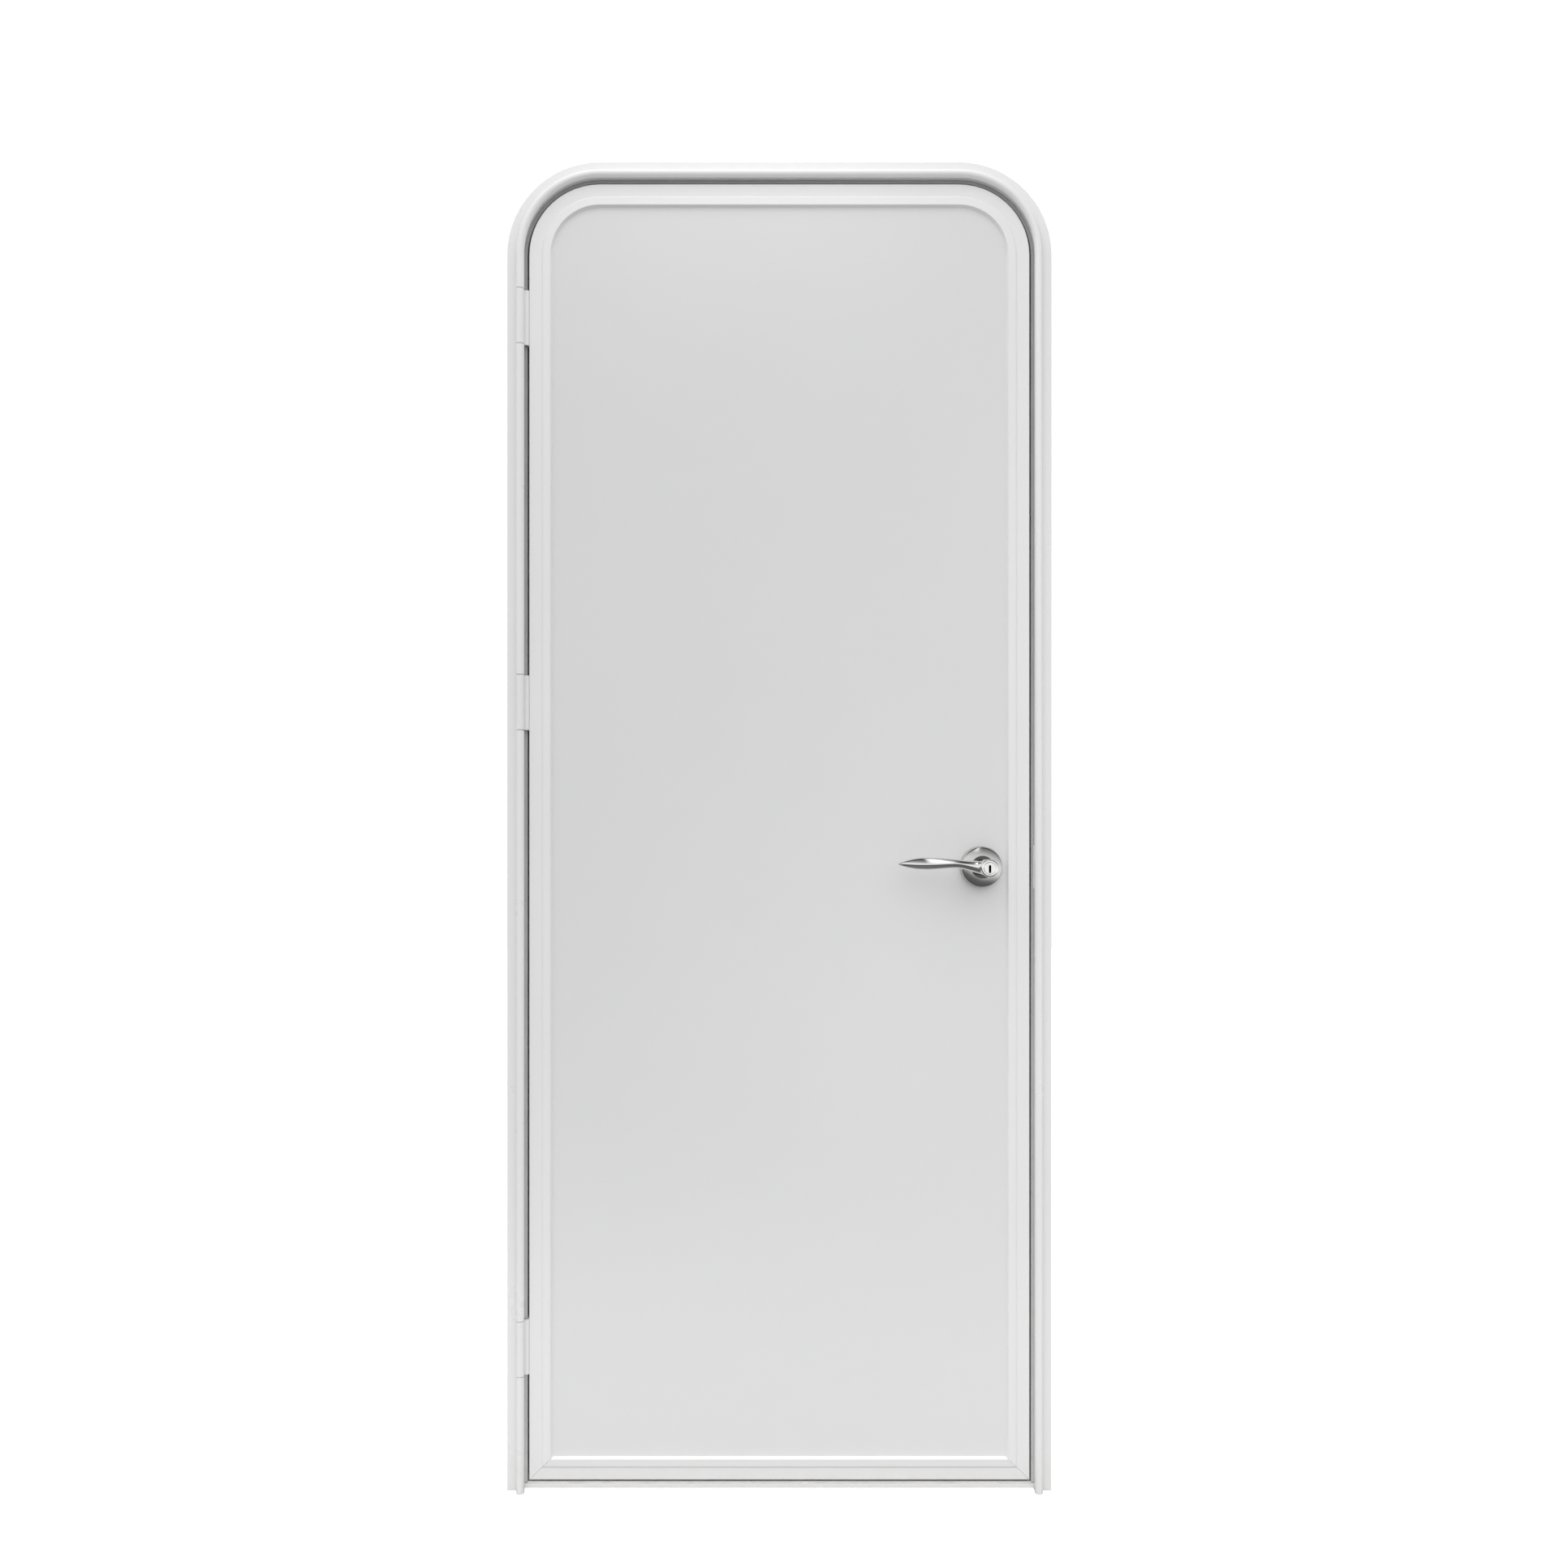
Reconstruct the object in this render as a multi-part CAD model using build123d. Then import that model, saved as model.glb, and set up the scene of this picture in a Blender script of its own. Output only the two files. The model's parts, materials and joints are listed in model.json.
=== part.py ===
"""Caravan entry door: a round-cornered leaf hung on a full-height bead inside a bent wall frame.

Millimetres. +X towards the lever side, -Y towards the outside, +Z up. The origin is at the middle of
the sill's foot, on the plane that lies against the outer face of the caravan wall.
"""
import os
from math import copysign, hypot

from build123d import *

# Wall frame: one extrusion bent round two top corners
frame_width = 750.0
frame_height = 1830.0
frame_corner_r = 128.0
leg_drop = 4.0
flange_t = 2.0
flange_edge_r = 0.9
bead_r = 5.5
bead_inset = 19.0
bead_stand = 6.8
bead_neck = 3.5
jamb_t = 2.0
jamb_setback = 1.5
jamb_depth = 38.0
stop_t = 2.0
stop_reach = 19.5

# Screws through the jambs into the wall framing
screw_hole_r = 2.4
screw_depth = 18.0
screw_first_z = 100.0
screw_head_drop = 98.0
screw_rows = 6

# Sill between the jambs
sill_lip_t = 2.0
sill_lip_h = 5.0
sill_tread_t = 2.0
sill_fall = 0.6
sill_upstand_h = 17.0
sill_rib_t = 2.0
sill_rib_h = 3.0

# Bulb seal on the stop
seal_base_w = 8.0
seal_base_t = 1.6
seal_bulb_w = 6.4
seal_inset = 3.0
seal_touch_gap = 0.3

# Leaf: perimeter extrusion round a sandwich panel
leaf_gap = 7.3
leaf_bottom_gap = 5.0
leaf_stand = 2.4
outer_band_w = 17.0
band_step_w = 2.6
band_step_h = 1.6
inner_band_w = 9.9
inner_band_rise = 0.6
bevel_w = 2.6
bevel_d = 3.5
leaf_edge_r = 1.6
band_edge_r = 0.5
leaf_edge_t = 3.0
leaf_face_t = 2.0
leaf_lip_t = 2.0
leaf_lip_w = 22.0
pocket_w = 14.0
pocket_web_t = 2.0
panel_clear = 0.4
mitre_gap = 0.3
skin_t = 1.5
core_t = 25.0

# Hinge: knuckles on the leaf share the bead's axis and one rod
rod_r = 3.0
rod_clear = 0.05
rod_foot_z = 4.0
rod_past_knuckle = 40.0
knuckle_len = 75.0
knuckle_end_gap = 1.0
knuckle_side_gap = 0.3
bottom_knuckle_z = 194.0
middle_knuckle_drop = 745.0
top_knuckle_drop = 215.0
hinge_plate_t = 2.4
hinge_tail_depth = 20.0
hinge_bend_r = 2.0

# Lock set
lock_z = 855.0
backset = 67.0
cross_bore_r = 24.0
rose_r = 29.0
rose_taper = 0.8
rose_wall_h = 6.5
rose_edge_r = 3.4
rose_face_r = 25.5
rose_face_h = 9.6
rose_dome_r = 60.0
rose_dome_h = 11.6
rose_collar_r = 15.5
rose_collar_h = 15.0
neck_r = 11.0
neck_clear = 0.3
neck_foot_gap = 1.0
hub_r = 12.0
hub_face_out = 57.0
hub_edge_c = 1.2
hub_height = 25.0
grip_out = 46.0
spindle_w = 8.0
spindle_clear = 0.05
spindle_swing_clear = 0.6
spindle_in_lever = 30.0

# Grip stations: along from the axis, rise, half height, half thickness, drop towards the leaf
grip_stations = (
    (3.0, 0.0, 9.8, 7.6, 0.0),
    (13.5, 1.3, 8.8, 6.8, 0.0),
    (23.5, 2.9, 7.3, 6.0, 0.0),
    (41.0, 5.9, 5.9, 5.0, 0.2),
    (52.5, 6.0, 6.6, 4.9, 0.8),
    (67.0, 5.9, 7.9, 4.8, 1.6),
    (83.0, 5.8, 8.6, 4.6, 2.8),
    (94.5, 5.6, 7.8, 4.2, 3.9),
    (104.0, 5.4, 6.0, 3.6, 4.9),
    (111.5, 5.2, 3.6, 2.6, 5.6),
    (116.0, 5.1, 1.8, 1.4, 6.0),
    (118.0, 5.0, 0.6, 0.5, 6.1),
)

# Key plug and thumb turn
plug_r = 8.2
plug_len = 16.0
plug_clear = 0.1
plug_proud = 0.8
plug_edge_c = 0.5
keyway_w = 2.4
keyway_h = 9.0
keyway_d = 9.0
turn_stem_r = 5.0
turn_stem_len = 6.0
turn_seat_d = 4.0
turn_seat_clear = 0.1
turn_knob_w = 6.0
turn_knob_h = 20.0
turn_knob_d = 11.0

# Latch
latch_bore_r = 12.0
latch_case_clear = 0.4
faceplate_w = 23.0
faceplate_h = 44.0
faceplate_t = 2.0
faceplate_proud = 0.7
faceplate_corner_r = 5.7
bolt_w = 11.0
bolt_h = 15.0
bolt_len = 32.0
bolt_clear = 0.3
bolt_nose_d = 8.0
bolt_nose_w = 7.5
latch_case_past_axis = 12.0
strike_w = 26.0
strike_h = 66.0
strike_t = 1.5
strike_corner_r = 6.5
strike_slot_clear = 2.0
strike_cup_t = 1.2
strike_cup_d = 16.0
strike_cup_clear = 0.2

# Cutters run this far past the faces that they open
cut_past = 5.0

# Places that follow from the sizes above
half_w = frame_width / 2
frame_top = frame_height - leg_drop
jamb_face = bead_inset + bead_r - jamb_setback
stop_face_y = jamb_depth - stop_t
stop_edge = jamb_face + stop_reach
axis_x = -half_w + bead_inset
axis_y = -bead_stand
bore_r = rod_r + rod_clear
leaf_inset = jamb_face + leaf_gap
leaf_half_w = half_w - leaf_inset
leaf_top = frame_top - leaf_inset
leaf_corner_r = frame_corner_r - leaf_inset
leaf_bottom = sill_lip_h + sill_fall + leaf_bottom_gap
leaf_front = -leaf_stand
band_front = leaf_front - band_step_h
panel_front = band_front + bevel_d
panel_back = panel_front + core_t + 2 * skin_t
leaf_back = panel_back + leaf_lip_t
face_w = outer_band_w + band_step_w + inner_band_w + bevel_w
panel_inset = pocket_w + panel_clear
lock_x = leaf_half_w - backset
latch_face = leaf_half_w + faceplate_proud
panel_mid = (panel_front + panel_back) / 2
screw_pitch = (frame_top - frame_corner_r - screw_head_drop - screw_first_z) / (screw_rows - 1)
knuckle_z = {
    "bottom": bottom_knuckle_z,
    "middle": frame_top - middle_knuckle_drop,
    "top": frame_top - top_knuckle_drop,
}


def strip(u0, u1, v0, v1):
    """A rectangle of a section, from corner to corner."""
    return Pos((u0 + u1) / 2, (v0 + v1) / 2) * Rectangle(abs(u1 - u0), abs(v1 - v0))


def block(x0, x1, y0, y1, z0, z1):
    """A box from corner to corner."""
    middle = Pos((x0 + x1) / 2, (y0 + y1) / 2, (z0 + z1) / 2)
    return middle * Box(abs(x1 - x0), abs(y1 - y0), abs(z1 - z0))


def rod(radius, start, direction, length):
    """A round bar from a start point."""
    return extrude(Plane(start, z_dir=direction) * Circle(radius), length)


def bent_u(section, foot_half_w, foot_z, top_z, corner_r):
    """Carries a section, drawn inwards from the left leg's edge, up the legs and over the head."""
    spring_z = top_z - corner_r
    foot = Pos(-foot_half_w, 0, foot_z) * section
    leg = extrude(foot, spring_z - foot_z, dir=(0, 0, 1))
    spring = Pos(-foot_half_w, 0, spring_z) * section
    turn = Axis((-foot_half_w + corner_r, 0, spring_z), (0, 1, 0))
    corner = revolve(spring, turn, 90)
    crown = extrude(spring.rotate(turn, 90), foot_half_w - corner_r, dir=(1, 0, 0))
    half = leg + corner + crown
    return half + mirror(half, Plane.YZ)


def arched(inset, y0, y1):
    """A flat slab with the leaf's round top corners, kept in from the leaf's edge all round."""
    w = leaf_half_w - inset
    r = leaf_corner_r - inset
    low = leaf_bottom + inset
    high = leaf_top - inset
    outline = strip(-w, w, low, high)
    top_corners = outline.vertices().sort_by(Axis.Y)[-2:]
    face = Plane((0, y0, 0), x_dir=(1, 0, 0), z_dir=(0, -1, 0)) * fillet(top_corners, r)
    return extrude(face, y1 - y0, dir=(0, 1, 0))


def at_lock(y):
    """The point on the lever's axis at a depth."""
    return (lock_x, y, lock_z)


def knuckle_span(z):
    """Lower and upper end of a knuckle."""
    return z - knuckle_len / 2, z + knuckle_len / 2


def frame_section():
    """Flange, bead on its neck, jamb and stop, drawn inwards from the flange's outer edge."""
    flange = strip(0, jamb_face, -flange_t, 0)
    flange = fillet(flange.vertices().group_by(Axis.X)[0], flange_edge_r)
    neck = strip(bead_inset - bead_neck, jamb_face, -bead_stand, 0)
    jamb = strip(jamb_face - jamb_t, jamb_face, -bead_stand, jamb_depth)
    stop = strip(jamb_face - jamb_t, stop_edge, stop_face_y, jamb_depth)
    bead = Pos(bead_inset, -bead_stand) * Circle(bead_r)
    bore = Pos(bead_inset, -bead_stand) * Circle(bore_r)
    return flange + neck + jamb + stop + bead - bore


def make_door_frame():
    frame = bent_u(frame_section(), half_w, -leg_drop, frame_top, frame_corner_r)
    sweep_r = bead_r + knuckle_side_gap
    for z in knuckle_z.values():
        low, high = knuckle_span(z)
        low -= knuckle_end_gap
        high += knuckle_end_gap
        room = rod(sweep_r, (axis_x, axis_y, low), (0, 0, 1), high - low)
        way = block(axis_x, axis_x + sweep_r, axis_y - sweep_r, axis_y + sweep_r, low, high)
        frame -= room + way
    for row in range(screw_rows):
        z = screw_first_z + row * screw_pitch
        for side in (-1, 1):
            start = (side * (half_w - jamb_face + jamb_t + cut_past), screw_depth, z)
            frame -= rod(screw_hole_r, start, (-side, 0, 0), jamb_t + 2 * cut_past)
    return frame - strike_slot(strike_cup_t + strike_cup_clear)


def strike_slot(grow):
    """The way that the latch bolt shoots into, through the strike plate and jamb, grown by a margin."""
    reach_y = bolt_w / 2 + strike_slot_clear + grow
    reach_z = bolt_h / 2 + strike_slot_clear + grow
    inner = half_w - jamb_face - strike_t - cut_past
    outer = half_w - jamb_face + strike_cup_d + grow
    y0, y1 = panel_mid - reach_y, panel_mid + reach_y
    return block(inner, outer, y0, y1, lock_z - reach_z, lock_z + reach_z)


def make_strike_plate():
    """A plate on the jamb's face with a closed cup behind its slot."""
    face_x = half_w - jamb_face
    outline = Pos(panel_mid, lock_z) * RectangleRounded(strike_w, strike_h, strike_corner_r)
    plate = extrude(Plane((face_x, 0, 0), x_dir=(0, 1, 0), z_dir=(1, 0, 0)) * outline, -strike_t)
    cup = strike_slot(strike_cup_t) & rod(strike_h, (face_x, panel_mid, lock_z), (1, 0, 0), 2 * strike_cup_d)
    return plate + cup - strike_slot(0)


def make_sill():
    """Lip on the wall, falling tread between the jambs, and an upstand between the stops."""
    inner_z = sill_lip_h + sill_fall
    tread = make_face(
        Polyline(
            (-sill_lip_t, 0),
            (0, 0),
            (0, sill_lip_h - sill_tread_t),
            (stop_face_y, inner_z - sill_tread_t),
            (stop_face_y, inner_z),
            (-sill_lip_t, sill_lip_h),
            close=True,
        )
    )
    rib_back = stop_face_y - sill_rib_t
    rib = strip(rib_back, stop_face_y, inner_z - sill_tread_t - sill_rib_h, inner_z - sill_tread_t)
    upstand = strip(stop_face_y, jamb_depth, inner_z - sill_tread_t - sill_rib_h, inner_z + sill_upstand_h)
    across = Plane((0, 0, 0), x_dir=(0, 1, 0), z_dir=(1, 0, 0))
    length = half_w - jamb_face
    body = extrude(across * (tread + rib), length, both=True)
    back = extrude(across * upstand, half_w - stop_edge, both=True)
    return body + back


def seal_section(base_v, tip_v):
    """A D-shaped bulb on a flat base, from the base line to its tip."""
    mid = seal_base_w / 2
    step = seal_base_t if tip_v > base_v else -seal_base_t
    base = strip(0, seal_base_w, base_v, base_v + step)
    bulb = Pos(mid, (base_v + tip_v) / 2) * Ellipse(seal_bulb_w / 2, abs(tip_v - base_v) / 2)
    return base + bulb


def make_frame_seal():
    inset = stop_edge - seal_inset - seal_base_w
    section = Pos(inset, 0) * seal_section(stop_face_y, leaf_back + seal_touch_gap)
    foot_z = sill_lip_h + sill_fall
    return bent_u(section, half_w, foot_z, frame_top, frame_corner_r)


def make_sill_seal():
    top_z = sill_lip_h + sill_fall + sill_upstand_h
    section = seal_section(stop_face_y, leaf_back + seal_touch_gap)
    across = Plane((0, 0, top_z - seal_base_w), x_dir=(0, 0, 1), z_dir=(-1, 0, 0))
    return extrude(across * section, half_w - stop_edge, both=True)


def make_hinge_rod():
    top = knuckle_z["top"] + knuckle_len / 2 + rod_past_knuckle
    return rod(rod_r, (axis_x, axis_y, rod_foot_z), (0, 0, 1), top - rod_foot_z)


def leaf_section():
    """Outer band, raised sloping inner band and bevel round a panel pocket, with a hollow edge chamber."""
    step_at = outer_band_w + band_step_w
    outline = make_face(
        Polyline(
            (0, leaf_back),
            (0, leaf_front),
            (outer_band_w, leaf_front),
            (step_at, band_front),
            (step_at + inner_band_w, band_front - inner_band_rise),
            (face_w, panel_front),
            (pocket_w, panel_front),
            (pocket_w, panel_back),
            (leaf_lip_w, panel_back),
            (leaf_lip_w, leaf_back),
            close=True,
        )
    )
    edges = outline.vertices().filter_by(lambda v: v.X < leaf_edge_r / 2)
    outline = fillet(edges, leaf_edge_r)
    bands = outline.vertices().filter_by(lambda v: v.Y < band_front + band_edge_r / 2)
    outline = fillet(bands, band_edge_r)
    chamber = strip(leaf_edge_t, pocket_w - pocket_web_t, leaf_front + leaf_face_t, leaf_back - leaf_lip_t)
    return outline - chamber


def mitre_wedge(off):
    """Everything under the two 45 degree mitre planes at the leaf's lower corners, moved off square."""
    reach = leaf_lip_w + face_w
    low = leaf_bottom - reach
    rise = copysign(hypot(off, off), off)
    wedge = make_face(
        Polyline(
            (-leaf_half_w - reach, low),
            (leaf_half_w + reach, low),
            (leaf_half_w - reach, leaf_bottom + reach),
            (-leaf_half_w + reach, leaf_bottom + reach),
            close=True,
        )
    )
    face = Plane((0, band_front - reach, rise), x_dir=(1, 0, 0), z_dir=(0, -1, 0)) * wedge
    return extrude(face, 2 * reach + leaf_back - band_front, dir=(0, 1, 0))


def make_leaf_frame():
    frame = bent_u(leaf_section(), leaf_half_w, leaf_bottom, leaf_top, leaf_corner_r)
    return frame - mitre_wedge(mitre_gap / 2) - latch_bore() - faceplate_blank()


def make_leaf_bottom_rail():
    foot = Plane((0, 0, leaf_bottom), x_dir=(0, 0, 1), z_dir=(-1, 0, 0)) * leaf_section()
    rail = extrude(foot, leaf_half_w, both=True)
    return rail & mitre_wedge(-mitre_gap / 2)


def latch_bore():
    """The hole for the tubular latch, from the leaf's edge to the far side of the lever's axis."""
    start = (leaf_half_w + cut_past, panel_mid, lock_z)
    return rod(latch_bore_r, start, (-1, 0, 0), cut_past + backset + cross_bore_r)


def faceplate_outline():
    """The outline of the faceplate's outer face."""
    place = Plane((latch_face, panel_mid, lock_z), x_dir=(0, 1, 0), z_dir=(1, 0, 0))
    return place * RectangleRounded(faceplate_w, faceplate_h, faceplate_corner_r)


def faceplate_blank():
    """The faceplate before its opening, let into the leaf's edge and standing a little proud of it."""
    return extrude(faceplate_outline(), -faceplate_t)


def bolt_way(grow, x0, x1):
    """A bar of the bolt's section, grown all round by a clearance."""
    reach_y = bolt_w / 2 + grow
    reach_z = bolt_h / 2 + grow
    return block(x0, x1, panel_mid - reach_y, panel_mid + reach_y, lock_z - reach_z, lock_z + reach_z)


def panel_layer(y0, y1):
    """One layer of the panel with the lever set's cross bore through it."""
    bore = rod(cross_bore_r, at_lock(y0 - cut_past), (0, 1, 0), y1 - y0 + 2 * cut_past)
    return arched(panel_inset, y0, y1) - bore


def make_outer_skin():
    return panel_layer(panel_front, panel_front + skin_t)


def make_foam_core():
    return panel_layer(panel_front + skin_t, panel_back - skin_t) - latch_bore()


def make_inner_skin():
    return panel_layer(panel_back - skin_t, panel_back)


def make_knuckle(z):
    """A rolled barrel whose plate leaves at its back, crosses to the leaf's edge and lies along it."""
    low, high = knuckle_span(z)
    plate_back = axis_y + bead_r
    plate_front = plate_back - hinge_plate_t
    edge = -leaf_half_w
    tail = strip(edge - hinge_plate_t, edge, plate_front, plate_front + hinge_tail_depth)
    web = strip(axis_x, edge, plate_front, plate_back)
    bent = web + tail
    outer = bent.vertices().sort_by_distance((edge, plate_front))[0]
    bent = fillet(outer, hinge_bend_r)
    section = bent + Pos(axis_x, axis_y) * Circle(bead_r) - Pos(axis_x, axis_y) * Circle(bore_r)
    return extrude(Pos(0, 0, low) * section, high - low, dir=(0, 0, 1))


def make_rose(seat_y, out):
    """A round rose turned about the lever's axis: wall, rounded edge, shallow dome and collar."""
    hole = neck_r + neck_clear
    wall_top = (rose_r - rose_taper, rose_wall_h)
    face_edge = (rose_face_r, rose_face_h)
    dome_foot = (rose_collar_r, rose_dome_h)
    profile = make_face(
        Polyline((hole, 0), (rose_r, 0), wall_top)
        + RadiusArc(wall_top, face_edge, -rose_edge_r)
        + RadiusArc(face_edge, dome_foot, -rose_dome_r)
        + Polyline(dome_foot, (rose_collar_r, rose_collar_h), (hole, rose_collar_h), (hole, 0))
    )
    place = Plane(at_lock(seat_y), x_dir=(1, 0, 0), z_dir=(0, 0, out))
    return revolve(place * profile, Axis(at_lock(seat_y), (0, 1, 0)), 360)


def make_lever(seat_y, out):
    """Neck and hub on the axis with a leaf-shaped grip lofted through oval stations."""

    def y_at(stand):
        return seat_y + out * stand

    neck = rod(neck_r, at_lock(y_at(neck_foot_gap)), (0, out, 0), grip_out - neck_foot_gap)
    hub = rod(hub_r, at_lock(y_at(hub_face_out - hub_height)), (0, out, 0), hub_height)
    face_edge = hub.edges().sort_by(Axis.Y, reverse=out > 0)[0]
    hub = chamfer(face_edge, hub_edge_c)
    rings = []
    for along, rise, half_h, half_t, drop in grip_stations:
        centre = (lock_x - along, y_at(grip_out - drop), lock_z + rise)
        rings.append(Plane(centre, x_dir=(0, 0, 1), z_dir=(-1, 0, 0)) * Ellipse(half_h, half_t))
    drive = Plane(at_lock(y_at(neck_foot_gap)), x_dir=(1, 0, 0), z_dir=(0, out, 0))
    socket_w = spindle_w + 2 * spindle_clear
    socket = extrude(drive * Rectangle(socket_w, socket_w), spindle_in_lever)
    return neck + hub + loft(rings) - socket


def make_outer_lever():
    lever = make_lever(panel_front, -1)
    return lever - rod(plug_r + plug_clear, at_lock(panel_front - hub_face_out), (0, 1, 0), plug_len)


def make_inner_lever():
    lever = make_lever(panel_back, 1)
    seat_r = turn_stem_r + turn_seat_clear
    return lever - rod(seat_r, at_lock(panel_back + hub_face_out), (0, -1, 0), turn_seat_d)


def make_spindle():
    reach = neck_foot_gap + spindle_in_lever - spindle_swing_clear
    end = Plane(at_lock(panel_front - reach), x_dir=(1, 0, 0), z_dir=(0, 1, 0))
    return extrude(end * Rectangle(spindle_w, spindle_w), panel_back - panel_front + 2 * reach)


def make_key_plug():
    """Keyed plug, slightly proud of the hub's face, with an upright keyway."""
    face_y = panel_front - hub_face_out - plug_proud
    plug = rod(plug_r, at_lock(face_y), (0, 1, 0), plug_len + plug_proud - plug_clear)
    plug = chamfer(plug.edges().sort_by(Axis.Y)[0], plug_edge_c)
    face = Plane(at_lock(face_y), x_dir=(0, 0, 1), z_dir=(0, 1, 0))
    return plug - extrude(face * SlotOverall(keyway_h, keyway_w), keyway_d)


def make_thumb_turn():
    face_y = panel_back + hub_face_out
    stem = rod(turn_stem_r, at_lock(face_y - turn_seat_d), (0, 1, 0), turn_seat_d + turn_stem_len)
    knob_foot = Plane(at_lock(face_y + turn_stem_len), x_dir=(0, 0, 1), z_dir=(0, 1, 0))
    return stem + extrude(knob_foot * SlotOverall(turn_knob_h, turn_knob_w), turn_knob_d)


def make_latch_case():
    """Round latch tube with a channel for the bolt and a cross hole that the spindle turns in."""
    outer_x = latch_face - faceplate_t
    length = outer_x - lock_x + latch_case_past_axis
    case = rod(latch_bore_r - latch_case_clear, (outer_x, panel_mid, lock_z), (-1, 0, 0), length)
    case -= bolt_way(bolt_clear, outer_x - bolt_len, outer_x)
    swing_r = hypot(spindle_w, spindle_w) / 2 + spindle_swing_clear
    return case - rod(swing_r, at_lock(panel_mid - latch_bore_r), (0, 1, 0), 2 * latch_bore_r)


def make_latch_faceplate():
    return faceplate_blank() - bolt_way(bolt_clear, latch_face - 2 * faceplate_t, latch_face + faceplate_t)


def make_latch_bolt():
    """Spring bolt drawn back flush with the faceplate, its nose bevelled on the closing side."""
    bolt = bolt_way(0, latch_face - bolt_len, latch_face)
    bevel = make_face(
        Polyline(
            (latch_face - bolt_nose_d, panel_mid + bolt_w / 2),
            (latch_face, panel_mid + bolt_w / 2),
            (latch_face, panel_mid + bolt_w / 2 - bolt_nose_w),
            close=True,
        )
    )
    return bolt - extrude(Pos(0, 0, lock_z - bolt_h) * bevel, 2 * bolt_h, dir=(0, 0, 1))


def make_parts():
    parts = {
        "door_frame": make_door_frame(),
        "sill": make_sill(),
        "frame_seal": make_frame_seal(),
        "sill_seal": make_sill_seal(),
        "hinge_rod": make_hinge_rod(),
        "strike_plate": make_strike_plate(),
        "leaf_frame": make_leaf_frame(),
        "leaf_bottom_rail": make_leaf_bottom_rail(),
        "outer_skin": make_outer_skin(),
        "foam_core": make_foam_core(),
        "inner_skin": make_inner_skin(),
        "outer_rose": make_rose(panel_front, -1),
        "inner_rose": make_rose(panel_back, 1),
        "outer_lever": make_outer_lever(),
        "inner_lever": make_inner_lever(),
        "spindle": make_spindle(),
        "key_plug": make_key_plug(),
        "thumb_turn": make_thumb_turn(),
        "latch_case": make_latch_case(),
        "latch_faceplate": make_latch_faceplate(),
        "latch_bolt": make_latch_bolt(),
    }
    for place, z in knuckle_z.items():
        parts["hinge_knuckle_" + place] = make_knuckle(z)
    return parts


os.makedirs("parts", exist_ok=True)
for name, solid in make_parts().items():
    export_step(solid, os.path.join("parts", name + ".step"))
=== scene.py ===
# Caravan entry door: finishes, levers, soft lips, screws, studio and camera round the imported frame
import json
import math

import bmesh
import bpy
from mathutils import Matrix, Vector


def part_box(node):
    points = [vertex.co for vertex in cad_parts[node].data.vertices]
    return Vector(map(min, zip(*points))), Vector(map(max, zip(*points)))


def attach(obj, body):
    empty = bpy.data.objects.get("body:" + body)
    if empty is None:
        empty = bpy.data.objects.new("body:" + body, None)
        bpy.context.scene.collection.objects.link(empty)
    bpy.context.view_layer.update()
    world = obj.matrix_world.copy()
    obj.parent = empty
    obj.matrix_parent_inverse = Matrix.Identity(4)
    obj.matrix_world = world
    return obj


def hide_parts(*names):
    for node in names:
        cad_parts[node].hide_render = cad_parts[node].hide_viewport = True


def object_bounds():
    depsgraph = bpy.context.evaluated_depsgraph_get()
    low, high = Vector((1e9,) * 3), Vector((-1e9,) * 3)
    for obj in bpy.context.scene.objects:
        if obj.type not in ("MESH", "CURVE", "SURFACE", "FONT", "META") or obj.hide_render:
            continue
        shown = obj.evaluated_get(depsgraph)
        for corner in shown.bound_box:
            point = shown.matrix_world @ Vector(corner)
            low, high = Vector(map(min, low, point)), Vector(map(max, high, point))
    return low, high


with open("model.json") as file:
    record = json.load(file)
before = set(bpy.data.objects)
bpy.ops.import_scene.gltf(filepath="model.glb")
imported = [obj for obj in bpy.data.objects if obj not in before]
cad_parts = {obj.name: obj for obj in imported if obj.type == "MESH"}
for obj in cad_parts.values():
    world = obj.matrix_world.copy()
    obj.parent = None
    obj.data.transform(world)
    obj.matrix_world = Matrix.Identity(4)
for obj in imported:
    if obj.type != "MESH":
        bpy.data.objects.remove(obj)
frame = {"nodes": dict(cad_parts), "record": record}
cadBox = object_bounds()
nodes = frame["nodes"]
record = frame["record"]
joints = record["behaviour"]["joints"]
leverPlace = next(joint["pos_m"] for joint in joints if joint["name"] == "lever_turn")
lockX, lockZ = leverPlace[0], leverPlace[2]
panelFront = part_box("outer_skin")[0][1]
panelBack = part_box("inner_skin")[1][1]
quarter = math.radians(90)
perMetre = 1000  # millimetres
white = (1, 1, 1, 1)
bpy.ops.object.select_all(action="DESELECT")
print("frame loaded:", len(nodes), "nodes")


def feed(tree, socket, value):  # links a socket to another one, or sets its value
    if isinstance(value, bpy.types.NodeSocket):
        tree.links.new(value, socket)
    else:
        socket.default_value = value


def addNode(tree, kind, inputs=None, **props):  # a node with its sockets set or linked
    node = tree.nodes.new(kind)
    for name, value in props.items():
        setattr(node, name, value)
    for name, value in (inputs or {}).items():
        feed(tree, node.inputs[name], value)
    return node


def newGroup(name, inputs, outputs):  # an empty shader group with number or colour sockets
    tree = bpy.data.node_groups.new(name, "ShaderNodeTree")
    for label, value in inputs.items():
        kind = "NodeSocketColor" if isinstance(value, tuple) else "NodeSocketFloat"
        tree.interface.new_socket(label, in_out="INPUT", socket_type=kind).default_value = value
    for label, kind in outputs.items():
        tree.interface.new_socket(label, in_out="OUTPUT", socket_type=kind)
    return tree, addNode(tree, "NodeGroupInput").outputs, addNode(tree, "NodeGroupOutput")


def onPiece(tree):
    return addNode(tree, "ShaderNodeTexCoord").outputs["Object"]


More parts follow.
